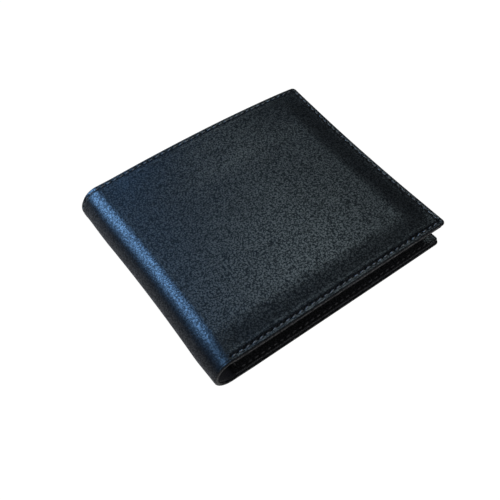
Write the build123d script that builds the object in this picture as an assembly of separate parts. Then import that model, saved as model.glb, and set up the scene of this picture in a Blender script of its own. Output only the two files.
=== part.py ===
"""Bifold wallet, closed and lying on its back cover.

Frame: +Z up, the fold (spine) along Y at the low-X side, the free edges at the high-X side,
the mouth of the bill compartment at +Y. The origin is the middle of the footprint, on the
surface that the wallet lies on. All sizes are in millimetres.

The wallet is two mirrored halves and the spine that joins them. Every layer of a half is
described by its depth: 0 on the outside face of the cover, growing towards the card slots.
"""

import os
from math import cos, pi, radians, sin

from build123d import *

# ---- overall sizes, wallet closed -------------------------------------------------------------
WIDTH = 112.0  # spine to free edge
HEIGHT = 97.0  # along the fold
THICKNESS = 18.0  # outside of one cover to the outside of the other
CORNER_RADIUS = 2.0  # free corners, seen from above

# ---- sheet thicknesses ------------------------------------------------------------------------
LEATHER = 1.1  # cover leather
HEM = 0.6  # skived leather turned over round the cover's rim
HEM_WIDTH = 7.0
LINING = 0.2  # woven lining
BILL_GAP = 0.4  # bill compartment, empty
PANEL = 0.6  # leather that carries the card slots
STRIP = 0.45  # leather of a card slot
TONGUE = 0.2  # woven pocket backing that hangs from an upper card slot

# ---- interior layout --------------------------------------------------------------------------
CARD_HEIGHT = 54.0  # ID-1 card, 85.6 wide
CARD_SHOW = 3.0  # how far a card stands out of its slot
FIRST_SLOT_DROP = 12.0  # from the interior's top edge to the highest card slot's mouth
SLOT_STEP = 12.5  # from one card slot's mouth to the next
SLOT_LAP = 3.5  # an upper slot's leather runs on behind the next one by this much
UPPER_SLOTS = 2
POCKET_RIM = 3.0  # sewn margin that closes a pocket's sides and bottom
INTERIOR_TOP_DROP = 4.0  # the interior's top edge lies this far below the cover's
INTERIOR_SIDE_DROP = 0.6  # the interior's sewn edges lie this far inside the cover's
PANEL_FROM_FOLD = 1.0  # from the end of the flat cover to the card panel's fold-side edge
BOTTOM_NOTCH = 9.0  # the interior is cut back by this much at the fold's bottom end

# ---- thread -----------------------------------------------------------------------------------
SEAM_INSET = 1.8  # from an edge to the seam's centre line
THREAD_WIDTH = 0.6
THREAD_DEPTH = 0.3

# ---- fits -------------------------------------------------------------------------------------
BEND_GAP = 0.3  # between rigid stretches of a sheet that bends in use
LAY_GAP = 0.3  # between sheets that lie edge to edge

# ---- values that follow -----------------------------------------------------------------------
FOLD_RADIUS = THICKNESS / 2
FREE_X = WIDTH / 2
FOLD_X = FOLD_RADIUS - WIDTH / 2  # centre line of the fold, where the flat covers end
TOP_Y = HEIGHT / 2
BOTTOM_Y = -HEIGHT / 2
BEND_ANGLE = 45.0  # where the spine is hinged, from the flat cover round the fold

HEM_AT = LEATHER
LINING_AT = HEM_AT + HEM
BILL_AT = LINING_AT + LINING
WALL_AT = BILL_AT + BILL_GAP
PANEL_AT = WALL_AT + LINING
SLOTS_AT = PANEL_AT + PANEL
LOWER_SLOT_AT = SLOTS_AT + UPPER_SLOTS * STRIP

INTERIOR_FREE_X = FREE_X - INTERIOR_SIDE_DROP
INTERIOR_TOP_Y = TOP_Y - INTERIOR_TOP_DROP
INTERIOR_BOTTOM_Y = BOTTOM_Y + INTERIOR_SIDE_DROP
PANEL_X = FOLD_X + PANEL_FROM_FOLD
LOWER_MOUTH_Y = INTERIOR_TOP_Y - FIRST_SLOT_DROP - UPPER_SLOTS * SLOT_STEP
SEAM_TOP = TOP_Y - SEAM_INSET
SEAM_BOTTOM = BOTTOM_Y + SEAM_INSET
SEAM_FREE = FREE_X - SEAM_INSET
PANEL_SEAM_FOLD = PANEL_X + SEAM_INSET
PANEL_SEAM_TOP = INTERIOR_TOP_Y - SEAM_INSET


# ---- building blocks --------------------------------------------------------------------------
def slab(depth, thickness, x0, x1, y0, y1):
    """A flat sheet of the back half."""
    return Pos((x0 + x1) / 2, (y0 + y1) / 2, depth + thickness / 2) * Box(x1 - x0, y1 - y0, thickness)


def bend(depth, thickness, start, end, y0, y1, start_gap=0.0, end_gap=0.0):
    """A sheet that follows the fold from one angle to another, 0 at the back cover, 180 at the front."""

    def at(radius, angle):
        return (FOLD_X - radius * sin(angle), FOLD_RADIUS - radius * cos(angle))

    outer = FOLD_RADIUS - depth
    inner = outer - thickness
    first = radians(start) + start_gap / outer
    last = radians(end) - end_gap / outer
    middle = (first + last) / 2
    outline = (
        ThreePointArc(at(outer, first), at(outer, middle), at(outer, last))
        + Line(at(outer, last), at(inner, last))
        + ThreePointArc(at(inner, last), at(inner, middle), at(inner, first))
        + Line(at(inner, first), at(outer, first))
    )
    return extrude(Plane.XZ.offset(-y1) * make_face(outline), amount=y1 - y0)


def rounded(shape, inset=0.0):
    """The shape with its free corners rounded in plan."""
    radius = CORNER_RADIUS - inset
    x1 = FREE_X - inset
    length = 2 * WIDTH
    height = HEIGHT - 2 * inset
    plan = Pos(x1 - length / 2, 0) * RectangleRounded(length, height, radius)
    return shape & extrude(plan, amount=THICKNESS)


def half_bend(depth, thickness, y0, y1):
    """The back half's stretch of a sheet that crosses the fold."""
    return bend(depth, thickness, 0, BEND_ANGLE, y0, y1, end_gap=BEND_GAP / 2)


def spine_bend(depth, thickness, y0, y1):
    """The spine's stretch of a sheet that crosses the fold."""
    last = 180 - BEND_ANGLE
    return bend(depth, thickness, BEND_ANGLE, last, y0, y1, BEND_GAP / 2, BEND_GAP / 2)


def front(shape):
    """The same piece on the front half."""
    return mirror(shape, about=Plane.XY.offset(THICKNESS / 2))


# ---- thread runs ------------------------------------------------------------------------------
def seam_x(depth, x0, x1, y):
    """A run of thread along X, sunk into the face at that depth."""
    return slab(depth, THREAD_DEPTH, x0, x1, y - THREAD_WIDTH / 2, y + THREAD_WIDTH / 2)


def seam_y(depth, x, y0, y1):
    """A run of thread along Y, sunk into the face at that depth."""
    return slab(depth, THREAD_DEPTH, x - THREAD_WIDTH / 2, x + THREAD_WIDTH / 2, y0, y1)


def hem_seam_band():
    """Where the top hem's thread runs round the fold."""
    return SEAM_TOP - THREAD_WIDTH / 2, SEAM_TOP + THREAD_WIDTH / 2


def cover_thread():
    """Thread on the outside of the cover: top hem, free edge and bottom edge."""
    end = SEAM_FREE + THREAD_WIDTH / 2
    top = seam_x(0, FOLD_X, end, SEAM_TOP) + half_bend(0, THREAD_DEPTH, *hem_seam_band())
    side = seam_y(0, SEAM_FREE, SEAM_BOTTOM, SEAM_TOP)
    bottom = seam_x(0, FOLD_X, end, SEAM_BOTTOM)
    return top + side + bottom


def mouth_y(slot):
    """The mouth of a card slot: slot 0 is the lowest and nearest, the last one the highest."""
    return LOWER_MOUTH_Y + slot * SLOT_STEP


def slot_depth(slot):
    """Depth of a card slot's leather. The lowest slot is sewn on last, so it is the deepest."""
    return LOWER_SLOT_AT - slot * STRIP


def face_levels():
    """Each stretch of the card panel's face along Y: from, to, and the depth that the thread lies at."""
    mouths = [SEAM_BOTTOM] + [mouth_y(slot) for slot in range(UPPER_SLOTS + 1)]
    faces = [slot_depth(slot) + STRIP for slot in range(UPPER_SLOTS + 1)] + [PANEL_AT + PANEL]
    ends = mouths[1:] + [PANEL_SEAM_TOP]
    return [(low, high, face - THREAD_DEPTH) for low, high, face in zip(mouths, ends, faces)]


def panel_thread():
    """Thread round the card panel. Its sides climb over the lip of each card slot."""
    levels = face_levels()
    side = THREAD_WIDTH / 2
    bottom = seam_x(levels[0][2], PANEL_SEAM_FOLD - side, SEAM_FREE + side, SEAM_BOTTOM)
    top = seam_x(levels[-1][2], PANEL_SEAM_FOLD - side, SEAM_FREE + side, PANEL_SEAM_TOP)
    thread = bottom + top
    for x in (PANEL_SEAM_FOLD, SEAM_FREE):
        for low, high, depth in levels:
            thread = thread + seam_y(depth, x, low, high)
        for lip, _, depth in levels[1:]:
            rise = slab(depth, STRIP + THREAD_DEPTH, x - side, x + side, lip, lip + THREAD_DEPTH)
            thread = thread + rise
    return thread


# ---- sheets of one half -----------------------------------------------------------------------
def cover_leather():
    """Cover with its rim turned over on three sides, up to where the spine bends."""
    plate = slab(0, LEATHER, FOLD_X, FREE_X, BOTTOM_Y, TOP_Y) + half_bend(0, LEATHER, BOTTOM_Y, TOP_Y)
    hem = slab(HEM_AT, HEM, FREE_X - HEM_WIDTH, FREE_X, BOTTOM_Y, TOP_Y)
    for y0, y1 in ((BOTTOM_Y, BOTTOM_Y + HEM_WIDTH), (TOP_Y - HEM_WIDTH, TOP_Y)):
        hem = hem + slab(HEM_AT, HEM, FOLD_X, FREE_X, y0, y1) + half_bend(HEM_AT, HEM, y0, y1)
    return rounded(plate + hem) - cover_thread()


def cover_filler():
    """Padding that fills the tray inside the turned rim."""
    edge = HEM_WIDTH + LAY_GAP
    return slab(HEM_AT, HEM, FOLD_X, FREE_X - edge, BOTTOM_Y + edge, TOP_Y - edge)


def cover_lining():
    """Lining of the bill compartment's outer wall."""
    y0, y1 = BOTTOM_Y + INTERIOR_SIDE_DROP, TOP_Y - SEAM_INSET / 2
    flat = slab(LINING_AT, LINING, FOLD_X, INTERIOR_FREE_X, y0, y1)
    return rounded(flat, INTERIOR_SIDE_DROP) + half_bend(LINING_AT, LINING, y0, y1)


def bill_wall():
    """Inner wall of the bill compartment, closed to the cover along the bottom and free edge."""
    y0, y1 = INTERIOR_BOTTOM_Y, INTERIOR_TOP_Y
    sheet = slab(WALL_AT, LINING, FOLD_X, INTERIOR_FREE_X, y0, y1)
    side = slab(BILL_AT, BILL_GAP, INTERIOR_FREE_X - POCKET_RIM, INTERIOR_FREE_X, y0, y1)
    bottom = slab(BILL_AT, BILL_GAP, PANEL_X, INTERIOR_FREE_X, y0, y0 + POCKET_RIM)
    notch = slab(WALL_AT, LINING, FOLD_X, PANEL_X, y0, BOTTOM_Y + BOTTOM_NOTCH)
    strip = half_bend(WALL_AT, LINING, BOTTOM_Y + BOTTOM_NOTCH, y1)
    return rounded(sheet + side + bottom - notch, INTERIOR_SIDE_DROP) + strip


def card_panel():
    """Leather panel that carries the card slots. The slip pocket behind it opens at the fold."""
    plate = slab(PANEL_AT, PANEL, PANEL_X, INTERIOR_FREE_X, INTERIOR_BOTTOM_Y, INTERIOR_TOP_Y)
    return rounded(plate, INTERIOR_SIDE_DROP) - panel_thread()


def upper_slot(slot):
    """Leather band at the mouth of an upper card slot."""
    low = mouth_y(slot - 1) - SLOT_LAP
    plate = slab(slot_depth(slot), STRIP, PANEL_X, INTERIOR_FREE_X, low, mouth_y(slot))
    return plate - panel_thread()


def slot_tongue(slot):
    """Woven backing that hangs from an upper slot's band and makes the back of the next pocket."""
    edge = POCKET_RIM + LAY_GAP
    top = mouth_y(slot - 1) - SLOT_LAP
    floor = max(mouth_y(slot) - CARD_HEIGHT + CARD_SHOW, INTERIOR_BOTTOM_Y + edge)
    return slab(slot_depth(slot), TONGUE, PANEL_X + edge, INTERIOR_FREE_X - edge, floor, top)


def lower_slot():
    """Leather front of the lowest card slot, with the sewn rim that closes its sides and bottom."""
    y0, y1 = INTERIOR_BOTTOM_Y, mouth_y(0)
    depth, drop = slot_depth(0), UPPER_SLOTS * STRIP
    rim_top = y1 - SLOT_LAP - LAY_GAP
    plate = slab(depth, STRIP, PANEL_X, INTERIOR_FREE_X, y0, y1)
    rim = slab(SLOTS_AT, drop, PANEL_X, INTERIOR_FREE_X, y0, y0 + POCKET_RIM)
    for x0 in (PANEL_X, INTERIOR_FREE_X - POCKET_RIM):
        rim = rim + slab(SLOTS_AT, drop, x0, x0 + POCKET_RIM, y0, rim_top)
    return rounded(plate + rim, INTERIOR_SIDE_DROP) - panel_thread()


# ---- sheets of the spine ----------------------------------------------------------------------
def spine_thread():
    return spine_bend(0, THREAD_DEPTH, *hem_seam_band())


def spine_leather():
    """The cover leather where it bends, with its turned rim at both ends."""
    sheet = spine_bend(0, LEATHER, BOTTOM_Y, TOP_Y)
    for y0, y1 in ((BOTTOM_Y, BOTTOM_Y + HEM_WIDTH), (TOP_Y - HEM_WIDTH, TOP_Y)):
        sheet = sheet + spine_bend(HEM_AT, HEM, y0, y1)
    return sheet - spine_thread()


def spine_lining():
    return spine_bend(LINING_AT, LINING, BOTTOM_Y + INTERIOR_SIDE_DROP, TOP_Y - SEAM_INSET / 2)


def spine_bill_strip():
    return spine_bend(WALL_AT, LINING, BOTTOM_Y + BOTTOM_NOTCH, INTERIOR_TOP_Y)


def half_pieces():
    """Every piece of the back half, by its name without the half's."""
    pieces = {
        "cover_leather": cover_leather(),
        "cover_filler": cover_filler(),
        "cover_lining": cover_lining(),
        "cover_thread": cover_thread(),
        "bill_wall": bill_wall(),
        "card_panel": card_panel(),
        "lower_card_slot": lower_slot(),
        "panel_thread": panel_thread(),
    }
    for slot, name in enumerate(("middle", "upper"), start=1):
        pieces[f"{name}_card_slot"] = upper_slot(slot)
        pieces[f"{name}_slot_tongue"] = slot_tongue(slot)
    return pieces


def hinge_points():
    """Axes of the two hinges, in X and Z, that let the covers and the spine open flat at full length.

    A hinge lies on the 45 degree line through the fold's corner, so that the opened spine lies in the
    plane of the covers, and as far out as makes the opened spine as long as the fold is round.
    """
    out = (pi / 2 - 1) * FOLD_RADIUS / 2
    reach = FOLD_RADIUS / 2 + out
    x = FOLD_X - reach
    low = x - (FOLD_X - FOLD_RADIUS)
    return (x, low), (x, THICKNESS - low)


def main():
    os.makedirs("parts", exist_ok=True)
    spine = {
        "spine_leather": spine_leather(),
        "spine_lining": spine_lining(),
        "spine_bill_strip": spine_bill_strip(),
        "spine_thread": spine_thread(),
    }
    for name, piece in half_pieces().items():
        export_step(piece, f"parts/back_{name}.step")
        export_step(front(piece), f"parts/front_{name}.step")
    for name, piece in spine.items():
        export_step(piece, f"parts/{name}.step")
    for point in hinge_points():
        print("hinge axis at x, z:", point)


main()
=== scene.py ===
"""The looks of a bifold wallet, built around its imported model.

Every sheet of the wallet is made flat, as a pattern piece, and then folded round the spine. A pattern
has three coordinates, in metres: s runs from the middle of the spine to the free edge, y runs along the
fold, and depth runs from the outside of the cover towards the card slots. The front half is the back
half turned over, so both are made by the same functions.
"""

import math
import random

import bmesh
import bpy
import numpy as np
from bpy.props import FloatProperty, FloatVectorProperty, PointerProperty
from mathutils import Matrix, Vector


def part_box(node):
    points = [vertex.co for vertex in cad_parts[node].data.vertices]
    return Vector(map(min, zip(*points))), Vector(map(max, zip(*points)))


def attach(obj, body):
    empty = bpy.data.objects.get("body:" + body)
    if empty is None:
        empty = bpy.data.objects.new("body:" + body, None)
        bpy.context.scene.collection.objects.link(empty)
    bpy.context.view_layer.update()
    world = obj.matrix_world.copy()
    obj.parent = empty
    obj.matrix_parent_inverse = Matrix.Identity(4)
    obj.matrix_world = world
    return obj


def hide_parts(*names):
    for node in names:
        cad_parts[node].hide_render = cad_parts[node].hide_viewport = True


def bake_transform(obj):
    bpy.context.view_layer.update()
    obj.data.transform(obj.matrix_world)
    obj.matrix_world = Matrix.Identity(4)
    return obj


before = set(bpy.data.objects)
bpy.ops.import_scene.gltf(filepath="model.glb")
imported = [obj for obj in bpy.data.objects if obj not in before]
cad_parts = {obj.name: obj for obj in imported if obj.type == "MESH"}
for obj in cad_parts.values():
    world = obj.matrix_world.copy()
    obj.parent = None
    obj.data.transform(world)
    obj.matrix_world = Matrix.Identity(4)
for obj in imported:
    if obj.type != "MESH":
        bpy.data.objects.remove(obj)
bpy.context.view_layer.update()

bl_info = {
    "name": "Bifold wallet",
    "version": (1, 0, 0),
    "blender": (4, 5, 0),
    "location": "View3D > Sidebar > Wallet",
    "description": "Leather, linings, card slots and stitching of a bifold wallet",
    "category": "Object",
}

MM = 0.001
HALVES = ("back", "front")
SEAM_START = 0.4 * MM  # the top seam's first stitch, from the middle of the spine
SEAM_TURN = 1.1 * MM  # how far a row of stitches stops short of the next row
SKIN = 0.02 * MM  # air between sheets that lie on each other
CLOTH_INSET = 0.8 * MM  # how far a lining stays inside the cover's rim
LEATHER_INSET = 0.2 * MM  # how far a card slot stays inside its panel


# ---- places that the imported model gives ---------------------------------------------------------
def low(node):
    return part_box(node)[0]


def high(node):
    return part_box(node)[1]


THICKNESS = high("front_cover_leather")[2]
FREE_X = high("back_cover_leather")[0]
SPINE_X = low("spine_leather")[0]
TOP_Y = high("back_cover_leather")[1]
BOTTOM_Y = low("back_cover_leather")[1]
FOLD_RADIUS = THICKNESS / 2
FOLD_X = SPINE_X + FOLD_RADIUS
QUARTER = FOLD_RADIUS * math.pi / 2
S_END = QUARTER + FREE_X - FOLD_X

PANEL_S = QUARTER + low("back_card_panel")[0] - FOLD_X
INNER_END = QUARTER + high("back_card_panel")[0] - FOLD_X
INNER_TOP = high("back_card_panel")[1]
INNER_BOTTOM = low("back_card_panel")[1]
NOTCH_Y = low("spine_bill_strip")[1]
WALL_DEPTH = low("back_card_panel")[2] + 0.6 * MM
MOUTHS = tuple(high(f"back_{name}_card_slot")[1] for name in ("lower", "middle", "upper"))
BAND_FEET = tuple(low(f"back_{name}_card_slot")[1] for name in ("lower", "middle", "upper"))
TONGUE_FEET = (0.0,) + tuple(low(f"back_{name}_slot_tongue")[1] for name in ("middle", "upper"))
TONGUE_ENDS = tuple(
    QUARTER + edge("back_middle_slot_tongue")[0] - FOLD_X for edge in (low, high)
)


# ---- sizes and colours that a user would change -------------------------------------------------
def length(name, description, default):
    """A size in millimetres, shown in the scene's length unit."""
    return FloatProperty(name=name, description=description, default=default * MM, unit="LENGTH", min=0.0)


def colour(name, description, default):
    return FloatVectorProperty(name=name, description=description, default=default, subtype="COLOR", size=3)


class WalletSizes(bpy.types.PropertyGroup):
    corner: length("Corner radius", "Radius of the free corners, seen from above", 1.9)
    rim: length("Rim thickness", "Cover leather and turned hem together at the rim", 1.6)
    leather: length("Leather", "Thickness of the cover leather", 1.05)
    hem: length("Hem width", "Width of the turned hem", 7.0)
    puff: length("Puff", "How far the padded cover swells above its rim", 1.9)
    puff_width: length("Puff width", "How far in from the rim the cover goes on swelling", 14.5)
    seam_inset: length("Seam inset", "From an edge to the middle of the seam", 1.8)
    pitch: length("Stitch pitch", "From one stitch to the next", 2.95)
    thread: length("Thread", "Diameter of the sewing thread", 0.47)
    groove: length("Seam groove", "How deep the seam is pulled into the leather", 0.26)
    waist: length("Waist", "How far the middle of the spine is drawn in", 1.3)
    edge_draw: length("Edge draw", "How far the middle of the free edge is drawn in", 0.8)
    droop: length("Droop", "How far the free edge of the front cover hangs below its fold", 0.9)
    pressed: FloatProperty(
        name="Pressed", description="Share of the back cover's puff that the table takes away", default=0.45
    )
    mouth_rise: length("Mouth rise", "How far the mouth of the bill compartment stands open", 2.7)
    lining: length("Lining", "Thickness of the woven lining", 0.16)
    panel: length("Card panel", "Thickness of the leather behind the card slots", 0.5)
    band: length("Card slot", "Thickness of a card slot's leather", 0.42)


class WalletColours(bpy.types.PropertyGroup):
    leather: colour("Cover leather", "Dye of the cover leather", (0.0046, 0.0051, 0.0057))
    # Rubbed wear and painted highlight: this lighter rim colour also stands in for the light line that the
    # rounded rims catch.
    rim_wear_highlight_leather: colour("Worn and highlit leather", "Rubbed leather along the rims", (0.020, 0.022, 0.025))
    interior: colour("Interior leather", "Dye of the card slots", (0.0085, 0.0092, 0.0104))
    lining: colour("Lining", "Warp of the lining", (0.006, 0.007, 0.012))
    lining_weft: colour("Lining weft", "Weft of the lining", (0.012, 0.014, 0.022))
    thread: colour("Cover thread", "Dye of the thread round the covers", (0.105, 0.110, 0.115))
    # Painted shade: the panel thread is the cover thread's darker copy, standing in for the shadow that the
    # card panels lie in.
    panel_thread: colour("Panel thread", "Thread round the card panels, darkened as painted shade", (0.030, 0.032, 0.036))
    filler: colour("Padding", "Bonded fibre inside the covers", (0.35, 0.34, 0.32))
    floor: colour("Floor", "Pale studio floor", (0.86, 0.86, 0.87))


def sizes():
    return bpy.context.scene.wallet_sizes


def colours():
    return bpy.context.scene.wallet_colours


# ---- small numeric helpers ----------------------------------------------------------------------
def ease(value, start, end):
    """0 before start, 1 after end, and a smooth step between them."""
    t = np.clip((value - start) / (end - start), 0.0, 1.0)
    return t * t * (3 - 2 * t)


def swell(distance, width):
    """Share of its full height that a stuffed cover has reached at that distance from its rim."""
    return ease(distance, -2.5 * MM, width)


def soft_maximum(a, b, blend):
    """The larger of two depths, rounded where they meet."""
    return (a + b + np.sqrt((a - b) ** 2 + blend ** 2)) / 2


def ridge(distance, place, width):
    """A narrow bell round one distance."""
    return np.exp(-(((distance - place) / width) ** 2))


# ---- depths of the layers -----------------------------------------------------------------------
def rim_distance(s, y):
    """Distance from the cover's rim, inside its rounded free corners."""
    corner = sizes().corner
    across = S_END - s
    along = np.minimum(y - BOTTOM_Y, TOP_Y - y)
    rounded = corner - np.hypot(corner - np.minimum(across, corner), corner - np.minimum(along, corner))
    return np.where((across < corner) & (along < corner), rounded, np.minimum(across, along))


def run_along(s, y):
    """Place along the nearest edge of the cover, for what repeats from stitch to stitch."""
    return np.where(np.abs(y) > TOP_Y - (S_END - s), s, y)


def seam_pull(distance, along):
    """How deep a seam draws the leather in, deepest at the needle holes."""
    size = sizes()
    holes = 0.5 + 0.5 * np.cos(2 * math.pi * along / size.pitch)
    return size.groove * ridge(distance, size.seam_inset, 0.55 * MM) * (0.65 + 0.55 * holes)


def puffed(s, y):
    """How far the padded cover lies below its highest part."""
    size = sizes()
    fold_side = 1 - ease(s, 3 * MM, QUARTER + 9 * MM)
    swollen = swell(S_END - s, size.puff_width)
    swollen = swollen * swell(y - BOTTOM_Y, size.puff_width)
    swollen = swollen * swell(TOP_Y - y, size.puff_width * 1.5)
    return size.puff * (1 - 0.55 * fold_side) * (1 - swollen)


def cover_face(s, y):
    """Depth of the cover's outside."""
    rim = rim_distance(s, y)
    sewn = np.where(y < 0, ease(s, QUARTER - 1 * MM, QUARTER + 1 * MM), 1.0)
    crease = 0.09 * MM * ridge(rim, 0.95 * MM, 0.16 * MM)
    roll = 0.12 * MM * ridge(rim, 2.9 * MM, 0.8 * MM)
    return puffed(s, y) + sewn * (seam_pull(rim, run_along(s, y)) - roll) + crease


def hem_face(s, y):
    """Depth of the cover's inside as if the hem covered it all."""
    return cover_face(s, y) - seam_pull(rim_distance(s, y), run_along(s, y)) + sizes().rim


def cover_back(s, y):
    """Depth of the cover's inside: the hem's face, and the leather's inside past it."""
    size = sizes()
    past_hem = ease(rim_distance(s, y), size.hem - 0.4 * MM, size.hem + 0.4 * MM)
    return hem_face(s, y) - (size.rim - size.leather) * past_hem


def lining_out(s, y):
    return hem_face(s, y) + SKIN


def lining_in(s, y):
    return lining_out(s, y) + sizes().lining


def wall_out(s, y):
    """Depth of the bill compartment's inner wall: level, or lifted where the lining comes up to it."""
    return soft_maximum(lining_in(s, y) + SKIN, WALL_DEPTH, 0.5 * MM)


def wall_in(s, y):
    return wall_out(s, y) + sizes().lining


def panel_out(s, y):
    return wall_in(s, y) + SKIN


def panel_seam(s, y):
    """Pull of the seam round the card panel."""
    fold_edge = s - PANEL_S
    free_edge = INNER_END + 0.6 * MM - s
    top_edge = INNER_TOP - y
    bottom_edge = y - INNER_BOTTOM + 0.6 * MM
    across = np.minimum(fold_edge, free_edge)
    along = np.minimum(top_edge, bottom_edge)
    return 0.6 * seam_pull(np.minimum(across, along), np.where(along < across, s, y))


def panel_in(s, y):
    return panel_out(s, y) + sizes().panel


def band_out(slot, s, y):
    """Outside of a card slot's leather. Slot 2 is the highest and lies on the panel."""
    steps = 2 - slot
    lift = steps * (sizes().band + SKIN)
    if slot == 0:
        lift = lift * ease(y, INNER_BOTTOM + 5 * MM, MOUTHS[0] - 9 * MM)
    return panel_in(s, y) + SKIN + lift


def band_gape(slot, s, y):
    """A card slot's mouth stands off a little between its sewn ends."""
    middle = np.clip((s - PANEL_S) / (INNER_END - PANEL_S), 0, 1)
    return 0.22 * MM * np.sin(math.pi * middle) * ridge(y, MOUTHS[slot], 5 * MM)


def band_behind(slot, s, y):
    """Back of a card slot's leather, which follows its gaping mouth."""
    opening = ease(y, MOUTHS[slot] - 8 * MM, MOUTHS[slot])
    return band_out(slot, s, y) + band_gape(slot, s, y) * opening


def band_in(slot, s, y):
    crease = 0.08 * MM * ridge(MOUTHS[slot] - y, 1.6 * MM, 0.2 * MM)
    return band_out(slot, s, y) + sizes().band + band_gape(slot, s, y) - crease


def inner_face(s, y):
    """Depth of whatever leather shows on the inside of a half."""
    face = panel_in(s, y)
    for slot in (2, 1, 0):
        face = np.where(y < MOUTHS[slot], band_in(slot, s, y), face)
    return face


# ---- folding the pattern ------------------------------------------------------------------------
def fold(half, s, y, depth):
    """Places a pattern's points on the closed wallet."""
    size = sizes()
    angle = np.clip((QUARTER - s) / FOLD_RADIUS, -math.pi, math.pi)
    bent = angle > 0
    x = np.where(bent, FOLD_X - (FOLD_RADIUS - depth) * np.sin(angle), FOLD_X + s - QUARTER)
    z = np.where(bent, FOLD_RADIUS - (FOLD_RADIUS - depth) * np.cos(angle), depth)
    middle = 1 - (y / TOP_Y) ** 2
    free_side = ease(x, 5 * MM, FREE_X)
    x = x + size.waist * middle * (1 - ease(x, SPINE_X, SPINE_X + 22 * MM))
    x = x - size.edge_draw * middle * ease(x, FREE_X - 36 * MM, FREE_X)
    if half == "back":
        pressed = size.pressed * puffed(s, y) * ease(s, QUARTER - 4 * MM, QUARTER + 10 * MM)
        return np.stack([x, y, z - pressed + 0.25 * MM * (1 - middle) * free_side ** 2], axis=1)
    bow = np.sin(math.pi * np.clip((s - QUARTER * 0.4) / (S_END - QUARTER * 0.4), 0, 1)) ** 0.6
    rise = size.mouth_rise * bow * ridge(y, TOP_Y, 14 * MM)
    hang = size.droop * (0.35 + 0.65 * middle) * free_side
    return np.stack([x, y, THICKNESS - z - hang + rise], axis=1)


# ---- flat sheets --------------------------------------------------------------------------------
# Places of the lines beside an edge, in millimetres from it.
FINE = (0.0, 0.16, 0.34, 0.55, 0.8, 1.1, 1.42, 1.8, 2.25)


def cut_lines(start, end, step):
    """Where a sheet is divided between two edges: close together at the edges, even between them."""
    near = [start + f * MM for f in FINE]
    far = [end - f * MM for f in reversed(FINE)]
    count = max(1, round((far[0] - near[-1]) / step))
    between = [near[-1] + (far[0] - near[-1]) * i / count for i in range(1, count)]
    return np.array(near + between + far)


def flat_block(columns, rows, rim_cuts):
    """A block of that many columns and rows of quads, one high, whose rim is cut into loops."""
    bm = bmesh.new()
    bmesh.ops.create_grid(bm, x_segments=columns, y_segments=rows, size=0.5)
    rim = [edge for edge in bm.edges if edge.is_boundary]
    copy = bmesh.ops.duplicate(bm, geom=bm.verts[:] + bm.edges[:] + bm.faces[:])["geom"]
    lifted = [item for item in copy if isinstance(item, bmesh.types.BMVert)]
    bmesh.ops.translate(bm, verts=lifted, vec=(0, 0, 1))
    rim += [item for item in copy if isinstance(item, bmesh.types.BMEdge) and item.is_boundary]
    sides = bmesh.ops.bridge_loops(bm, edges=rim)["edges"]
    uprights = [e for e in sides if abs(e.verts[0].co.z - e.verts[1].co.z) > 0.5]
    bmesh.ops.subdivide_edges(bm, edges=uprights, cuts=rim_cuts, use_grid_fill=True)
    bmesh.ops.recalc_face_normals(bm, faces=bm.faces)
    return bm


def round_corner(s, y, centre_s, centre_y, radius, side):
    """Moves the points of a square corner into a quarter disc."""
    a = (s - centre_s) / radius
    b = side * (y - centre_y) / radius
    inside = (a > 0) & (b > 0)
    a, b = np.where(inside, a, 0), np.where(inside, b, 0)
    new_s = centre_s + radius * a * np.sqrt(1 - b * b / 2)
    new_y = centre_y + side * radius * b * np.sqrt(1 - a * a / 2)
    return np.where(inside, new_s, s), np.where(inside, new_y, y)


def leaf(name, half, s_lines, y_lines, outer, inner, corner=0.0, joined=False, rim_cuts=5):
    """One sheet of the wallet, from its pattern.

    outer and inner give the depth of its two faces. The rim is rounded, except where the sheet is joined
    to the other half's at the middle of the spine.
    """
    bm = flat_block(len(s_lines) - 1, len(y_lines) - 1, rim_cuts)
    mesh = bpy.data.meshes.new(name)
    bm.to_mesh(mesh)
    bm.free()
    grid = np.zeros(len(mesh.vertices) * 3)
    mesh.vertices.foreach_get("co", grid)
    u, v, k = grid.reshape(-1, 3).T
    column = np.rint((u + 0.5) * (len(s_lines) - 1)).astype(int)
    row = np.rint((v + 0.5) * (len(y_lines) - 1)).astype(int)
    s, y = s_lines[column], y_lines[row]
    across = (column == len(s_lines) - 1).astype(float)
    if not joined:
        across = across - (column == 0)
    along = (row == len(y_lines) - 1).astype(float) - (row == 0)
    if corner:
        for side, edge in ((1, y_lines[-1]), (-1, y_lines[0])):
            centre_s, centre_y = s_lines[-1] - corner, edge - side * corner
            s, y = round_corner(s, y, centre_s, centre_y, corner, side)
            turned = (s > centre_s + 1e-9) & (side * (y - centre_y) > 1e-9) & ((across != 0) | (along != 0))
            reach = np.hypot(s - centre_s, y - centre_y) + 1e-12
            across = np.where(turned, (s - centre_s) / reach, across)
            along = np.where(turned, (y - centre_y) / reach, along)
    span = np.hypot(across, along)
    across, along = across / np.maximum(span, 1), along / np.maximum(span, 1)
    face, back = outer(s, y), inner(s, y)
    half_depth = (back - face) / 2
    bulge = np.minimum(half_depth, 0.8 * MM) * np.sin(math.pi * k)
    depth = (face + back) / 2 - half_depth * np.cos(math.pi * k)
    points = fold(half, s + across * bulge, y + along * bulge, depth)
    mesh.vertices.foreach_set("co", points.ravel())
    # Rim mask for rubbed wear and painted highlight: the leather is lightened along it.
    wear_and_highlight = np.clip(1 - np.abs(k - 0.35) * 3, 0, 1) * (span > 0)
    write_pattern(mesh, s, y, wear_and_highlight)
    close_mesh(mesh)
    return new_piece(name, mesh)


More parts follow.
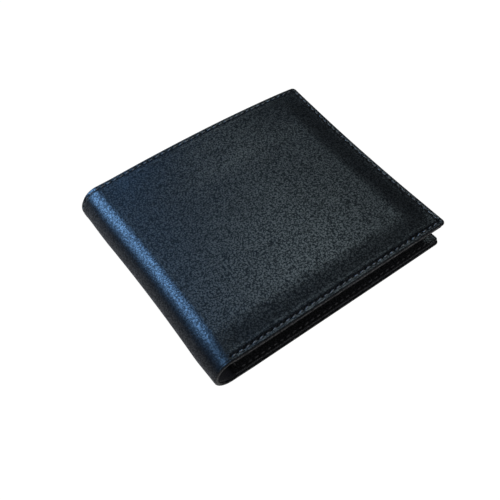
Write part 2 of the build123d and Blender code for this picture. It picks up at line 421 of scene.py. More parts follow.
def write_pattern(mesh, s, y, wear_and_highlight):
    """Keeps the flat pattern as the UV map, in metres, and as an attribute how far the rim is worn and painted
    lighter as a highlight.
    """
    corner = np.zeros(len(mesh.loops), dtype=np.int32)
    mesh.loops.foreach_get("vertex_index", corner)
    layer = mesh.uv_layers.new(name="pattern")
    layer.data.foreach_set("uv", np.stack([s, y], axis=1)[corner].astype(np.float32).ravel())
    rim = mesh.attributes.new("rim", "FLOAT", "POINT")
    rim.data.foreach_set("value", wear_and_highlight.astype(np.float32))


def close_mesh(mesh):
    """Turns every face of a closed shell outwards and shades it smooth."""
    bm = bmesh.new()
    bm.from_mesh(mesh)
    bmesh.ops.recalc_face_normals(bm, faces=bm.faces)
    bm.to_mesh(mesh)
    bm.free()
    mesh.shade_smooth()
    mesh.set_sharp_from_angle(angle=math.radians(55))


def new_piece(name, mesh):
    piece = bpy.data.objects.new(name, mesh)
    bpy.context.scene.collection.objects.link(piece)
    return piece


def bend_at_fold(piece, half):
    """Bakes a sheet's placement into its mesh, the same for both halves."""
    if half == "back":
        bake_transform(piece)
    else:
        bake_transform(piece)


def dress(piece, material, slot, *nodes):
    """Gives a piece its material and hides the imported solids that it stands for."""
    piece.data.materials.append(material)
    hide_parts(*nodes)


# ---- shader groups ------------------------------------------------------------------------------
class Nodes:
    """Short calls for building a node tree."""

    def __init__(self, tree):
        self.tree = tree

    def add(self, kind, inputs=None, **settings):
        node = self.tree.nodes.new(kind)
        for key, value in settings.items():
            setattr(node, key, value)
        for key, value in (inputs or {}).items():
            if isinstance(value, bpy.types.NodeSocket):
                self.tree.links.new(value, node.inputs[key])
            else:
                node.inputs[key].default_value = value
        return node

    def math(self, operation, a, b=0.0, c=0.0):
        return self.add("ShaderNodeMath", {0: a, 1: b, 2: c}, operation=operation).outputs[0]

    def mix(self, factor, a, b):
        node = self.add("ShaderNodeMix", {0: factor, 6: a, 7: b}, data_type="RGBA")
        return node.outputs[2]

    def span(self, value, low_in, high_in, low_out, high_out):
        inputs = {0: value, 1: low_in, 2: high_in, 3: low_out, 4: high_out}
        return self.add("ShaderNodeMapRange", inputs).outputs[0]


def new_group(name, inputs, outputs):
    """An empty node group with named sockets, and its input sockets."""
    tree = bpy.data.node_groups.new(name, "ShaderNodeTree")
    for label, kind, default in inputs:
        socket = tree.interface.new_socket(name=label, in_out="INPUT", socket_type=kind)
        if default is not None:
            socket.default_value = default
    for label, kind in outputs:
        tree.interface.new_socket(name=label, in_out="OUTPUT", socket_type=kind)
    entry = tree.nodes.new("NodeGroupInput")
    return tree, Nodes(tree), entry.outputs


VALUE, VECTOR = "NodeSocketFloat", "NodeSocketVector"


def grain_group():
    """Fine pebbled leather: rounded cells with creases between them, fine wrinkles, and slow waves."""
    if "wallet leather grain" in bpy.data.node_groups:
        return bpy.data.node_groups["wallet leather grain"]
    tree, n, given = new_group(
        "wallet leather grain",
        [("Place", VECTOR, None), ("Cell size", VALUE, 0.001), ("Unevenness", VALUE, 0.5)],
        [("Height", VALUE), ("Crease", VALUE), ("Patch", VALUE)],
    )
    scale = n.math("DIVIDE", 1.0, given["Cell size"])
    drift = n.add("ShaderNodeTexNoise", {"Vector": given["Place"], "Scale": 420.0, "Detail": 2.0})
    shift = n.add("ShaderNodeVectorMath", {0: drift.outputs["Color"], 1: (0.5, 0.5, 0.5)}, operation="SUBTRACT")
    bent = n.add(
        "ShaderNodeVectorMath",
        {0: shift.outputs[0], 1: (0.0011, 0.0011, 0.0011), 2: given["Place"]},
        operation="MULTIPLY_ADD",
    )
    cells = n.add(
        "ShaderNodeTexVoronoi", {"Vector": bent.outputs[0], "Scale": scale}, feature="DISTANCE_TO_EDGE"
    )
    crease = n.span(cells.outputs["Distance"], 0.0, 0.26, 1.0, 0.0)
    pebble = n.math("POWER", n.span(cells.outputs["Distance"], 0.0, 0.45, 0.0, 1.0), 0.8)
    wrinkle = n.add(
        "ShaderNodeTexNoise",
        {"Vector": bent.outputs[0], "Scale": n.math("MULTIPLY", scale, 1.25), "Detail": 1.0, "Distortion": 0.6},
    )
    slow = n.add("ShaderNodeTexNoise", {"Vector": given["Place"], "Scale": 55.0, "Detail": 3.0})
    wrinkled = n.span(wrinkle.outputs["Fac"], 0.34, 0.66, 0.0, 1.0)
    height = n.add("ShaderNodeMix", {0: given["Unevenness"], 2: pebble, 3: wrinkled}).outputs[0]
    out = tree.nodes.new("NodeGroupOutput")
    tree.links.new(height, out.inputs["Height"])
    tree.links.new(crease, out.inputs["Crease"])
    tree.links.new(slow.outputs["Fac"], out.inputs["Patch"])
    return tree


def weave_group():
    """Plain weave: warp and weft threads that pass over each other in turn."""
    if "wallet weave" in bpy.data.node_groups:
        return bpy.data.node_groups["wallet weave"]
    tree, n, given = new_group(
        "wallet weave",
        [("Place", VECTOR, None), ("Thread size", VALUE, 0.0003)],
        [("Height", VALUE), ("Weft", VALUE), ("Fuzz", VALUE)],
    )
    grid = n.add(
        "ShaderNodeVectorMath",
        {0: given["Place"], 3: n.math("DIVIDE", math.pi, given["Thread size"])},
        operation="SCALE",
    )
    split = n.add("ShaderNodeSeparateXYZ", {0: grid.outputs[0]})
    warp = n.math("SINE", split.outputs["X"])
    weft = n.math("SINE", split.outputs["Y"])
    turn = n.math("MULTIPLY", warp, weft)
    over = n.span(turn, -0.2, 0.2, 0.0, 1.0)
    ridge_warp = n.math("ABSOLUTE", warp)
    ridge_weft = n.math("ABSOLUTE", weft)
    raised_warp = n.math("MULTIPLY", ridge_warp, over)
    raised_weft = n.math("MULTIPLY", ridge_weft, n.math("SUBTRACT", 1.0, over))
    height = n.math("ADD", raised_warp, raised_weft)
    fuzz = n.add("ShaderNodeTexNoise", {"Vector": given["Place"], "Scale": 2600.0, "Detail": 3.0})
    out = tree.nodes.new("NodeGroupOutput")
    tree.links.new(height, out.inputs["Height"])
    tree.links.new(over, out.inputs["Weft"])
    tree.links.new(fuzz.outputs["Fac"], out.inputs["Fuzz"])
    return tree


def dust_group():
    """Specks of lint, and faint rubbing that also sets how much a leather rim is painted lighter as a
    highlight.
    """
    if "wallet dust" in bpy.data.node_groups:
        return bpy.data.node_groups["wallet dust"]
    tree, n, given = new_group("wallet dust", [("Place", VECTOR, None)], [("Specks", VALUE), ("Rubbed and highlit", VALUE)])
    lint = n.add("ShaderNodeTexVoronoi", {"Vector": given["Place"], "Scale": 260.0, "Randomness": 1.0})
    specks = n.span(lint.outputs["Distance"], 0.03, 0.06, 1.0, 0.0)
    cloud = n.add(
        "ShaderNodeTexNoise", {"Vector": given["Place"], "Scale": 28.0, "Detail": 5.0, "Roughness": 0.65}
    )
    rubbed_and_highlit = n.span(cloud.outputs["Fac"], 0.42, 0.68, 0.0, 1.0)
    out = tree.nodes.new("NodeGroupOutput")
    tree.links.new(specks, out.inputs["Specks"])
    tree.links.new(rubbed_and_highlit, out.inputs["Rubbed and highlit"])
    return tree


def cover_rows():
    """Both ends of each row of stitches round a cover, as (s, y)."""
    inset = sizes().seam_inset
    free, top, bottom = S_END - inset, TOP_Y - inset, BOTTOM_Y + inset
    return (
        ((SEAM_START, top), (free - SEAM_TURN, top)),
        ((free, top - SEAM_TURN), (free, bottom + SEAM_TURN)),
        ((QUARTER, bottom), (free - SEAM_TURN, bottom)),
    )


def needle_group():
    """Needle holes along the cover's seams, laid out on the pattern, as a mask that the leather darkens as
    painted shade.
    """
    if "wallet needle holes" in bpy.data.node_groups:
        return bpy.data.node_groups["wallet needle holes"]
    tree, n, given = new_group(
        "wallet needle holes", [("Place", VECTOR, None), ("Radius", VALUE, 0.0004)], [("Hole", VALUE)]
    )
    split = n.add("ShaderNodeSeparateXYZ", {0: given["Place"]})
    holes = 0.0
    for first, last in cover_rows():
        axis = 0 if first[1] == last[1] else 1
        start, end = sorted((first[axis], last[axis]))
        pitch = (end - start) / max(1, round((end - start) / sizes().pitch))
        run, side = split.outputs[axis], split.outputs[1 - axis]
        along = n.math("PINGPONG", n.math("SUBTRACT", run, start), pitch / 2)
        across = n.math("SUBTRACT", side, first[1 - axis])
        squares = n.math("ADD", n.math("MULTIPLY", along, along), n.math("MULTIPLY", across, across))
        reach = n.math("SQRT", squares)
        near = n.span(n.math("DIVIDE", reach, given["Radius"]), 0.6, 1.15, 1.0, 0.0)
        near = n.math("MULTIPLY", near, n.math("GREATER_THAN", run, start - pitch / 2))
        holes = n.math("MAXIMUM", near, holes)
    out = tree.nodes.new("NodeGroupOutput")
    tree.links.new(holes, out.inputs["Hole"])
    return tree


# ---- materials ----------------------------------------------------------------------------------
def rgba(value):
    return (*value, 1.0)


def start_material(name):
    material = bpy.data.materials.new(name)
    material.use_nodes = True
    material.node_tree.nodes.clear()
    n = Nodes(material.node_tree)
    out = n.add("ShaderNodeOutputMaterial")
    shader = n.add("ShaderNodeBsdfPrincipled")
    material.node_tree.links.new(shader.outputs[0], out.inputs["Surface"])
    return material, n, shader


def place_group(n, group, **inputs):
    node = n.add("ShaderNodeGroup", node_tree=group)
    for key, value in inputs.items():
        socket = node.inputs[key.replace("_", " ")]
        if isinstance(value, bpy.types.NodeSocket):
            n.tree.links.new(value, socket)
        else:
            socket.default_value = value
    return node


def leather_material(name, dye, wear_and_highlight, cell, bump, rough, pierced=False):
    """Dyed leather with its grain, rubbed rims that are also painted lighter as a highlight, painted shade in
    the grain's creases, and a little lint.

    Where it is pierced it also has needle holes, darkened as painted shade, and its grain is pulled flat round
    the spine.
    """
    if name in bpy.data.materials:
        return bpy.data.materials[name]
    material, n, shader = start_material(name)
    place = n.add("ShaderNodeTexCoord").outputs["Object"]
    grain = place_group(n, grain_group(), Place=place, Cell_size=cell, Unevenness=0.45)
    dust = place_group(n, dust_group(), Place=place)
    rim = n.add("ShaderNodeAttribute", attribute_name="rim", attribute_type="GEOMETRY").outputs["Fac"]
    # Rubbed wear and painted highlight: the rims are lightened towards the rim colour.
    rubbed_and_highlit = n.math("MULTIPLY", rim, n.span(dust.outputs["Rubbed and highlit"], 0.0, 1.0, 0.35, 0.9))
    tone = n.span(grain.outputs["Patch"], 0.3, 0.7, 0.0, 0.55)
    deep = n.mix(tone, rgba(dye), rgba([c * 1.7 for c in dye]))
    # Painted shade: the creases between the grain's cells are darkened towards a quarter of the dye.
    crease_shaded = n.mix(n.math("MULTIPLY", grain.outputs["Crease"], 0.85), deep, rgba([c * 0.25 for c in dye]))
    rim_wear_highlight_mixed = n.mix(rubbed_and_highlit, crease_shaded, rgba(wear_and_highlight))
    colour_out = n.mix(n.math("MULTIPLY", dust.outputs["Specks"], 0.10), rim_wear_highlight_mixed, rgba((0.3, 0.3, 0.3)))
    gloss = n.math("MULTIPLY_ADD", grain.outputs["Crease"], 0.16, rough)
    gloss = n.math("MULTIPLY_ADD", dust.outputs["Rubbed and highlit"], -0.05, gloss)
    gloss = n.math("MULTIPLY_ADD", rim, -0.06, gloss)
    height = grain.outputs["Height"]
    polish = n.span(height, 0.26, 0.64, 0.0, 1.0)
    if pierced:
        flat = n.add("ShaderNodeUVMap", uv_map="pattern").outputs["UV"]
        from_spine = n.add("ShaderNodeSeparateXYZ", {0: flat}).outputs["X"]
        stretched = n.span(from_spine, QUARTER * 0.6, QUARTER * 1.3, 0.35, 0.0)
        polish = n.add("ShaderNodeMix", {0: stretched, 2: polish, 3: 0.6}).outputs[0]
        hole = place_group(n, needle_group(), Place=flat, Radius=0.00030).outputs["Hole"]
        # Painted shade: the needle holes are darkened to a tenth of the dye.
        colour_out = n.mix(hole, colour_out, rgba([c * 0.1 for c in dye]))
        gloss = n.math("MULTIPLY_ADD", hole, 0.4, gloss)
        polish = n.math("MULTIPLY", polish, n.math("SUBTRACT", 1.0, hole))
        height = n.math("MULTIPLY_ADD", hole, -3.5, height)
    relief = n.add("ShaderNodeBump", {"Height": height, "Distance": bump, "Strength": 1.0})
    n.tree.links.new(colour_out, shader.inputs["Base Color"])
    n.tree.links.new(gloss, shader.inputs["Roughness"])
    n.tree.links.new(polish, shader.inputs["Coat Weight"])
    n.tree.links.new(relief.outputs[0], shader.inputs["Normal"])
    shader.inputs["IOR"].default_value = 1.5
    shader.inputs["Specular IOR Level"].default_value = 0.10
    shader.inputs["Coat Roughness"].default_value = 0.34
    return material


def cloth_material(name, warp, weft, thread_size):
    """Woven lining, laid out on the pattern."""
    if name in bpy.data.materials:
        return bpy.data.materials[name]
    material, n, shader = start_material(name)
    place = n.add("ShaderNodeUVMap", uv_map="pattern").outputs["UV"]
    weave = place_group(n, weave_group(), Place=place, Thread_size=thread_size)
    thread = n.mix(weave.outputs["Weft"], rgba(warp), rgba(weft))
    shaded = n.mix(n.span(weave.outputs["Height"], 0.0, 0.6, 0.75, 0.0), thread, rgba([c * 0.25 for c in warp]))
    relief = n.add("ShaderNodeBump", {"Height": weave.outputs["Height"], "Distance": 0.00008, "Strength": 1.0})
    gloss = n.span(weave.outputs["Fuzz"], 0.3, 0.7, 0.52, 0.72)
    n.tree.links.new(shaded, shader.inputs["Base Color"])
    n.tree.links.new(gloss, shader.inputs["Roughness"])
    n.tree.links.new(relief.outputs[0], shader.inputs["Normal"])
    shader.inputs["Sheen Weight"].default_value = 0.12
    return material


def thread_material(name, dye):
    """Twisted sewing thread. Each stitch keeps its own coordinates, so the twist follows it."""
    if name in bpy.data.materials:
        return bpy.data.materials[name]
    material, n, shader = start_material(name)
    stored = n.add("ShaderNodeAttribute", attribute_name="stitch_place", attribute_type="GEOMETRY")
    own = stored.outputs["Vector"]
    split = n.add("ShaderNodeSeparateXYZ", {0: own})
    round_it = n.math("ARCTAN2", split.outputs["Z"], split.outputs["Y"])
    twist = n.math("SINE", n.math("MULTIPLY_ADD", split.outputs["X"], 16.0, n.math("MULTIPLY", round_it, 2.0)))
    ply = n.span(twist, -1.0, 1.0, 0.0, 1.0)
    fuzz = n.add("ShaderNodeTexNoise", {"Vector": own, "Scale": 9.0, "Detail": 3.0}).outputs["Fac"]
    # Painted shade and highlight: the thread is darkened in the grooves of its twist and lightened on its
    # crests, following the same twist as the bump.
    base = n.mix(ply, rgba([c * 0.35 for c in dye]), rgba([c * 1.5 for c in dye]))
    base = n.mix(n.span(fuzz, 0.45, 0.75, 0.0, 0.4), base, rgba([c * 2.2 for c in dye]))
    relief = n.add("ShaderNodeBump", {"Height": ply, "Distance": 0.00006, "Strength": 1.0})
    n.tree.links.new(base, shader.inputs["Base Color"])
    n.tree.links.new(n.span(fuzz, 0.3, 0.7, 0.26, 0.45), shader.inputs["Roughness"])
    n.tree.links.new(relief.outputs[0], shader.inputs["Normal"])
    shader.inputs["Sheen Weight"].default_value = 0.25
    return material


def filler_material():
    name = "bonded fibre"
    if name in bpy.data.materials:
        return bpy.data.materials[name]
    material, n, shader = start_material(name)
    place = n.add("ShaderNodeTexCoord").outputs["Object"]
    fibres = n.add("ShaderNodeTexNoise", {"Vector": place, "Scale": 900.0, "Detail": 6.0, "Distortion": 1.5})
    tint = colours().filler
    base = n.mix(n.span(fibres.outputs["Fac"], 0.35, 0.65, 0.0, 1.0), rgba([c * 0.6 for c in tint]), rgba(tint))
    relief = n.add("ShaderNodeBump", {"Height": fibres.outputs["Fac"], "Distance": 0.0002, "Strength": 1.0})
    n.tree.links.new(base, shader.inputs["Base Color"])
    n.tree.links.new(n.span(fibres.outputs["Fac"], 0.3, 0.7, 0.8, 1.0), shader.inputs["Roughness"])
    n.tree.links.new(relief.outputs[0], shader.inputs["Normal"])
    return material


def cover_material():
    tint = colours()
    return leather_material("cover leather", tint.leather, tint.rim_wear_highlight_leather, 0.00098, 0.00009, 0.36, True)


def interior_material():
    tint = colours()
    return leather_material("interior leather", tint.interior, tint.rim_wear_highlight_leather, 0.0009, 0.00010, 0.42)


def lining_material():
    tint = colours()
    return cloth_material("woven lining", tint.lining, tint.lining_weft, 0.00028)


# ---- stitches -----------------------------------------------------------------------------------
def stitch_row(start, end, pitch):
    """Middle and direction of each stitch between two points of a pattern."""
    start, end = Vector(start), Vector(end)
    run = end - start
    count = max(1, round(run.length / pitch))
    return [(start + run * (i + 0.5) / count, math.atan2(run.y, run.x)) for i in range(count)]


def stitches(name, half, rows, level, outward, seed):
    """Every stitch of a seam as a short plump thread that dips into its needle holes."""
    size = sizes()
    chance = random.Random(seed)
    bm = bmesh.new()
    own = bm.verts.layers.float_vector.new("stitch_place")
    lying = Matrix.Rotation(math.pi / 2, 4, "Y")
    bmesh.ops.create_uvsphere(bm, u_segments=8, v_segments=7, radius=1.0, matrix=lying)
    for vert in bm.verts:
        vert[own] = vert.co
    shape = bm.verts[:] + bm.edges[:] + bm.faces[:]
    reach, radius = size.pitch * 0.34, size.thread / 2
    for place, heading in rows:
        copy = bmesh.ops.duplicate(bm, geom=shape)["geom"]
        verts = [item for item in copy if isinstance(item, bmesh.types.BMVert)]
        long = reach * chance.uniform(0.80, 1.10)
        slant = heading + math.radians(chance.uniform(2.0, 12.0))
        bmesh.ops.scale(bm, vec=(long, radius, radius), verts=verts)
        bmesh.ops.rotate(bm, cent=(0, 0, 0), matrix=Matrix.Rotation(slant, 3, "Z"), verts=verts)
        bmesh.ops.translate(bm, vec=(place.x, place.y, 0), verts=verts)
    bmesh.ops.delete(bm, geom=shape, context="VERTS")
    mesh = bpy.data.meshes.new(name)
    bm.to_mesh(mesh)
    bm.free()
    flat = np.zeros(len(mesh.vertices) * 3)
    local = np.zeros(len(mesh.vertices) * 3)
    mesh.vertices.foreach_get("co", flat)
    mesh.attributes["stitch_place"].data.foreach_get("vector", local)
    s, y, rise = flat.reshape(-1, 3).T
    along = local.reshape(-1, 3)[:, 0]
    arch = radius * (0.35 - 0.95 * np.abs(along) ** 2.5)
    points = fold(half, s, y, level(s, y) - outward * (rise + arch))
    mesh.vertices.foreach_set("co", points.ravel())
    close_mesh(mesh)
    return new_piece(name, mesh)


# ---- operators ----------------------------------------------------------------------------------
class WALLET_OT_covers(bpy.types.Operator):
    """Cover leather of both halves, meeting along the middle of the spine"""

    bl_idname = "wallet.covers"
    bl_label = "Covers"

    def execute(self, context):
        size = sizes()
        inset, step = size.rim / 2, size.pitch / 4
        s_lines = cut_lines(0.0, S_END - inset, step)
        y_lines = cut_lines(BOTTOM_Y + inset, TOP_Y - inset, step)
        for half in HALVES:
            cover = leaf(
                f"{half}_cover", half, s_lines, y_lines, cover_face, cover_back,
                corner=size.corner - inset, joined=True, rim_cuts=7,
            )
            nodes = [f"{half}_cover_leather"] + (["spine_leather"] if half == "back" else [])
            dress(cover, cover_material(), "cover_leather", *nodes)
            bend_at_fold(cover, half)
        return {"FINISHED"}


class WALLET_OT_fillers(bpy.types.Operator):
    """Padding between each cover's leather and its lining"""

    bl_idname = "wallet.fillers"
    bl_label = "Cover padding"

    def execute(self, context):
        size = sizes()
        edge = size.hem + 0.9 * MM
        s_lines = cut_lines(QUARTER, S_END - edge, 2 * MM)
        y_lines = cut_lines(BOTTOM_Y + edge, TOP_Y - edge, 2 * MM)
        for half in HALVES:
            pad = leaf(
                f"{half}_cover_padding", half, s_lines, y_lines,
                lambda s, y: cover_back(s, y) + SKIN, lambda s, y: hem_face(s, y) - SKIN, rim_cuts=3,
            )
            dress(pad, filler_material(), "filler", f"{half}_cover_filler")
            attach(pad, f"{half}_half")
        return {"FINISHED"}


class WALLET_OT_linings(bpy.types.Operator):
    """Woven linings inside the covers: the bill compartment's outer walls"""

    bl_idname = "wallet.linings"
    bl_label = "Linings"

    def execute(self, context):
        size = sizes()
        s_lines = cut_lines(0.0, S_END - CLOTH_INSET, 1.2 * MM)
        outer_y = cut_lines(BOTTOM_Y + CLOTH_INSET, TOP_Y - 1.0 * MM, 1.2 * MM)
        for half in HALVES:
            lining = leaf(
                f"{half}_outer_lining", half, s_lines, outer_y, lining_out, lining_in,
                corner=size.corner - CLOTH_INSET, joined=True, rim_cuts=2,
            )
            nodes = [f"{half}_cover_lining"] + (["spine_lining"] if half == "back" else [])
            dress(lining, lining_material(), "lining", *nodes)
            bend_at_fold(lining, half)
        return {"FINISHED"}


class WALLET_OT_bill_walls(bpy.types.Operator):
    """Inner wall of the bill compartment, cut back at the bottom of the fold"""

    bl_idname = "wallet.bill_walls"
    bl_label = "Bill compartment walls"

    def execute(self, context):
        size = sizes()
        s_lines = cut_lines(0.0, S_END - CLOTH_INSET, 1.2 * MM)
        y_lines = cut_lines(INNER_BOTTOM, INNER_TOP, 1.2 * MM)
        for half in HALVES:
            wall = leaf(
                f"{half}_inner_lining", half, s_lines, y_lines, wall_out, wall_in,
                corner=size.corner - CLOTH_INSET, joined=True, rim_cuts=2,
            )
            cut_notch(wall, half)
            nodes = [f"{half}_bill_wall"] + (["spine_bill_strip"] if half == "back" else [])
            dress(wall, lining_material(), "lining", *nodes)
            bend_at_fold(wall, half)
        return {"FINISHED"}


def cut_notch(wall, half):
    """Takes the bottom corner at the fold away, and closes the cut."""
    mesh = wall.data
    bm = bmesh.new()
    bm.from_mesh(mesh)
    layer = bm.loops.layers.uv["pattern"]
    gone = [
        face for face in bm.faces
        if all(loop[layer].uv.x < PANEL_S + 1 * MM and loop[layer].uv.y < NOTCH_Y for loop in face.loops)
    ]
    bmesh.ops.delete(bm, geom=gone, context="FACES")
    bmesh.ops.holes_fill(bm, edges=[e for e in bm.edges if e.is_boundary], sides=0)
    bmesh.ops.recalc_face_normals(bm, faces=bm.faces)
    bm.to_mesh(mesh)
    bm.free()


class WALLET_OT_card_panels(bpy.types.Operator):
    """Leather panels that carry the card slots"""

    bl_idname = "wallet.card_panels"
    bl_label = "Card panels"

    def execute(self, context):
        size = sizes()
        s_lines = cut_lines(PANEL_S + 0.25 * MM, INNER_END - 0.25 * MM, size.pitch / 4)
        y_lines = cut_lines(INNER_BOTTOM + 0.25 * MM, INNER_TOP - 0.25 * MM, size.pitch / 4)
        for half in HALVES:
            panel = leaf(
                f"{half}_panel_leather", half, s_lines, y_lines,
                panel_out, lambda s, y: panel_in(s, y) - panel_seam(s, y),
                corner=size.corner - 0.85 * MM, rim_cuts=4,
            )
            dress(panel, interior_material(), "interior_leather", f"{half}_card_panel")
            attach(panel, f"{half}_half")
        return {"FINISHED"}


class WALLET_OT_card_slots(bpy.types.Operator):
    """Card slots: two bands and a full pocket front in each half"""

    bl_idname = "wallet.card_slots"
    bl_label = "Card slots"

    def execute(self, context):
        size = sizes()
        s_lines = cut_lines(PANEL_S + LEATHER_INSET, INNER_END - LEATHER_INSET, size.pitch / 4)
        for half in HALVES:
            for slot, label in enumerate(("lower", "middle", "upper")):
                foot = INNER_BOTTOM if slot == 0 else BAND_FEET[slot]
                y_lines = cut_lines(foot + LEATHER_INSET, MOUTHS[slot] - LEATHER_INSET, size.pitch / 4)
                band = leaf(
                    f"{half}_{label}_slot_leather", half, s_lines, y_lines,
                    lambda s, y, i=slot: band_behind(i, s, y),
                    lambda s, y, i=slot: band_in(i, s, y) - panel_seam(s, y),
                    corner=size.corner - 0.8 * MM if slot == 0 else 0.0, rim_cuts=4,
                )
                dress(band, interior_material(), "interior_leather", f"{half}_{label}_card_slot")
                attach(band, f"{half}_half")
        return {"FINISHED"}


class WALLET_OT_slot_tongues(bpy.types.Operator):
    """Woven tongues that hang behind the card slots"""

    bl_idname = "wallet.slot_tongues"
    bl_label = "Slot tongues"

    def execute(self, context):
        thick = 0.14 * MM
        s_lines = cut_lines(*TONGUE_ENDS, 2 * MM)
        for half in HALVES:
            for slot, label in ((1, "middle"), (2, "upper")):
                foot, top = TONGUE_FEET[slot], BAND_FEET[slot] - 0.3 * MM
                y_lines = cut_lines(foot, top, 2 * MM)
                shift = (2 - slot) * 0.18 * MM + SKIN
                tongue = leaf(
                    f"{half}_{label}_tongue_cloth", half, s_lines, y_lines,
                    lambda s, y, d=shift: panel_in(s, y) + d,
                    lambda s, y, d=shift: panel_in(s, y) + d + thick, rim_cuts=1,
                )
                dress(tongue, lining_material(), "lining", f"{half}_{label}_slot_tongue")
                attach(tongue, f"{half}_half")
        return {"FINISHED"}


class WALLET_OT_stitching(bpy.types.Operator):
    """Rows of stitches round the covers and round the card panels"""

    bl_idname = "wallet.stitching"
    bl_label = "Stitching"

    def execute(self, context):
        size = sizes()
        outer, inner = [], []
        for first, last in cover_rows():
            outer += stitch_row(first, last, size.pitch)
        near, far = PANEL_S + size.seam_inset, S_END - size.seam_inset
        bottom, top = BOTTOM_Y + size.seam_inset, INNER_TOP - size.seam_inset
        for y in (top, bottom):
            inner += stitch_row((near + SEAM_TURN, y), (far - SEAM_TURN, y), size.pitch)
        for s in (near, far):
            inner += stitch_row((s, bottom + SEAM_TURN), (s, top - SEAM_TURN), size.pitch)
        for number, half in enumerate(HALVES):
            seam = stitches(f"{half}_cover_stitches", half, outer, cover_face, 1, number)
            nodes = [f"{half}_cover_thread"] + (["spine_thread"] if half == "back" else [])
            pale_thread = thread_material("cover thread", colours().thread)
            dress(seam, pale_thread, "thread", *nodes)
            bend_at_fold(seam, half)
            seam = stitches(
                f"{half}_panel_stitches", half, inner,
                lambda s, y: inner_face(s, y) - panel_seam(s, y), -1, number + 10,
            )
            # Painted shade: the thread round the card panels is darkened for the shadow it lies in inside the
            # wallet.
            shaded_thread = thread_material("panel thread", colours().panel_thread)
            dress(seam, shaded_thread, "thread", f"{half}_panel_thread")
            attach(seam, f"{half}_half")
        return {"FINISHED"}


class WALLET_OT_stage(bpy.types.Operator):
    """Pale floor, soft lights and the camera"""

    bl_idname = "wallet.stage"
    bl_label = "Stage"

    def execute(self, context):
        make_floor()
        make_lights()
        make_camera()
        return {"FINISHED"}


# ---- stage --------------------------------------------------------------------------------------
def make_floor():
    bm = bmesh.new()
    bmesh.ops.create_grid(bm, x_segments=2, y_segments=2, size=4.0)
    bmesh.ops.translate(bm, verts=bm.verts, vec=(0, 0, -0.0003))
    mesh = bpy.data.meshes.new("floor")
    bm.to_mesh(mesh)
    bm.free()
    floor = new_piece("floor", mesh)
    material, n, shader = start_material("pale floor")
    place = n.add("ShaderNodeTexCoord").outputs["Object"]
    cloud = n.add("ShaderNodeTexNoise", {"Vector": place, "Scale": 3.0, "Detail": 2.0}).outputs["Fac"]
    tint = colours().floor
    n.tree.links.new(n.mix(cloud, rgba([c * 0.99 for c in tint]), rgba(tint)), shader.inputs["Base Color"])
    shader.inputs["Roughness"].default_value = 0.85
    glow = n.add("ShaderNodeEmission", {"Color": (1.0, 1.0, 1.0, 1.0), "Strength": 1.12})
    seen = n.math("MULTIPLY", n.add("ShaderNodeLightPath").outputs["Is Camera Ray"], 0.88)
    lit = n.add("ShaderNodeMixShader", {0: seen, 1: shader.outputs[0], 2: glow.outputs[0]})
    out = next(node for node in material.node_tree.nodes if node.type == "OUTPUT_MATERIAL")
    n.tree.links.new(lit.outputs[0], out.inputs["Surface"])
    floor.data.materials.append(material)


def soft_light(name, aim, azimuth, elevation, distance, width, height, power, tint):
    """A rectangular lamp that looks at a point from that direction."""
    data = bpy.data.lights.new(name, "AREA")
    data.shape = "RECTANGLE"
    data.size, data.size_y = width, height
    data.energy = power
    data.color = tint
    lamp = bpy.data.objects.new(name, data)
    bpy.context.scene.collection.objects.link(lamp)
    a, e = math.radians(azimuth), math.radians(elevation)
    back = Vector((math.sin(a) * math.cos(e), -math.cos(a) * math.cos(e), math.sin(e)))
    lamp.location = Vector(aim) + back * distance
    lamp.rotation_euler = back.to_track_quat("Z", "Y").to_euler()
    return lamp


def make_lights():
    world = bpy.data.worlds.new("studio")
    world.use_nodes = True
    n = Nodes(world.node_tree)
    n.tree.nodes.clear()
    dim = n.add("ShaderNodeBackground", {"Color": (0.9, 0.95, 1.0, 1.0), "Strength": 0.04})
    pale = n.add("ShaderNodeBackground", {"Color": (1.0, 1.0, 1.0, 1.0), "Strength": 1.0})
    seen = n.add("ShaderNodeLightPath").outputs["Is Camera Ray"]
    sky = n.add("ShaderNodeMixShader", {0: seen, 1: dim.outputs[0], 2: pale.outputs[0]})
    n.add("ShaderNodeOutputWorld", {"Surface": sky.outputs[0]})
    bpy.context.scene.world = world
    bpy.context.scene.view_settings.view_transform = "Standard"
    middle = (0, 0, 0.01)
    softbox = soft_light("sheen softbox", middle, 131, 57, 1.2, 0.38, 0.33, 2.2, (0.78, 0.96, 1.0))
    window = soft_light("cool window", middle, -149, 42, 1.0, 0.62, 0.85, 26.5, (0.25, 0.53, 1.0))
    softbox.visible_diffuse = False
    window.visible_diffuse = False
    for side, azimuth in (("left", -75), ("right", 25)):
        fill = soft_light(f"{side} fill", middle, azimuth, 40, 1.5, 1.3, 0.9, 9.2, (1.0, 0.99, 0.98))
        fill.visible_glossy = False


CAMERA_AZIMUTH = -35.87
CAMERA_ELEVATION = 54.37
CAMERA_ROLL = -0.46
CAMERA_DISTANCE = 0.293
CAMERA_LENS = 51.4
CAMERA_AIM = (-7.8 * MM, -4.36 * MM, 0.0)


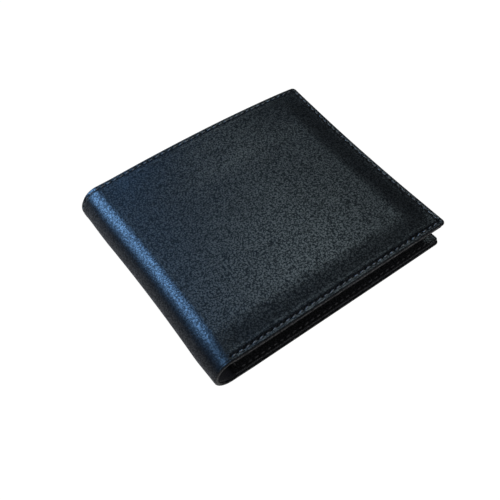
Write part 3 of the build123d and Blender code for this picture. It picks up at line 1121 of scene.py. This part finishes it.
def make_camera():
    data = bpy.data.cameras.new("camera")
    data.lens = CAMERA_LENS
    data.sensor_width = 36.0
    data.clip_start = 0.01
    camera = bpy.data.objects.new("camera", data)
    bpy.context.scene.collection.objects.link(camera)
    aim = Vector(CAMERA_AIM)
    a, e = math.radians(CAMERA_AZIMUTH), math.radians(CAMERA_ELEVATION)
    back = Vector((math.sin(a) * math.cos(e), -math.cos(a) * math.cos(e), math.sin(e)))
    camera.location = aim + back * CAMERA_DISTANCE
    look = back.to_track_quat("Z", "Y").to_matrix() @ Matrix.Rotation(math.radians(CAMERA_ROLL), 3, "Z")
    camera.rotation_euler = look.to_euler()
    bpy.context.scene.camera = camera


class WALLET_PT_panel(bpy.types.Panel):
    """Sizes, colours and makers of the wallet"""

    bl_label = "Bifold wallet"
    bl_idname = "WALLET_PT_panel"
    bl_space_type = "VIEW_3D"
    bl_region_type = "UI"
    bl_category = "Wallet"

    def draw(self, context):
        for group in (context.scene.wallet_sizes, context.scene.wallet_colours):
            for name in group.__annotations__:
                self.layout.prop(group, name)
        for operator in MAKERS:
            self.layout.operator(operator.bl_idname)


MAKERS = (
    WALLET_OT_covers,
    WALLET_OT_fillers,
    WALLET_OT_linings,
    WALLET_OT_bill_walls,
    WALLET_OT_card_panels,
    WALLET_OT_card_slots,
    WALLET_OT_slot_tongues,
    WALLET_OT_stitching,
    WALLET_OT_stage,
)
CLASSES = (WalletSizes, WalletColours, *MAKERS, WALLET_PT_panel)


def register():
    for item in CLASSES:
        bpy.utils.register_class(item)
    bpy.types.Scene.wallet_sizes = PointerProperty(type=WalletSizes)
    bpy.types.Scene.wallet_colours = PointerProperty(type=WalletColours)


def unregister():
    del bpy.types.Scene.wallet_colours
    del bpy.types.Scene.wallet_sizes
    for item in reversed(CLASSES):
        bpy.utils.unregister_class(item)


def main():
    register()
    bpy.ops.wallet.covers()
    bpy.ops.wallet.fillers()
    bpy.ops.wallet.linings()
    bpy.ops.wallet.bill_walls()
    bpy.ops.wallet.card_panels()
    bpy.ops.wallet.card_slots()
    bpy.ops.wallet.slot_tongues()
    bpy.ops.wallet.stitching()
    bpy.ops.wallet.stage()


if __name__ == "__main__":
    main()
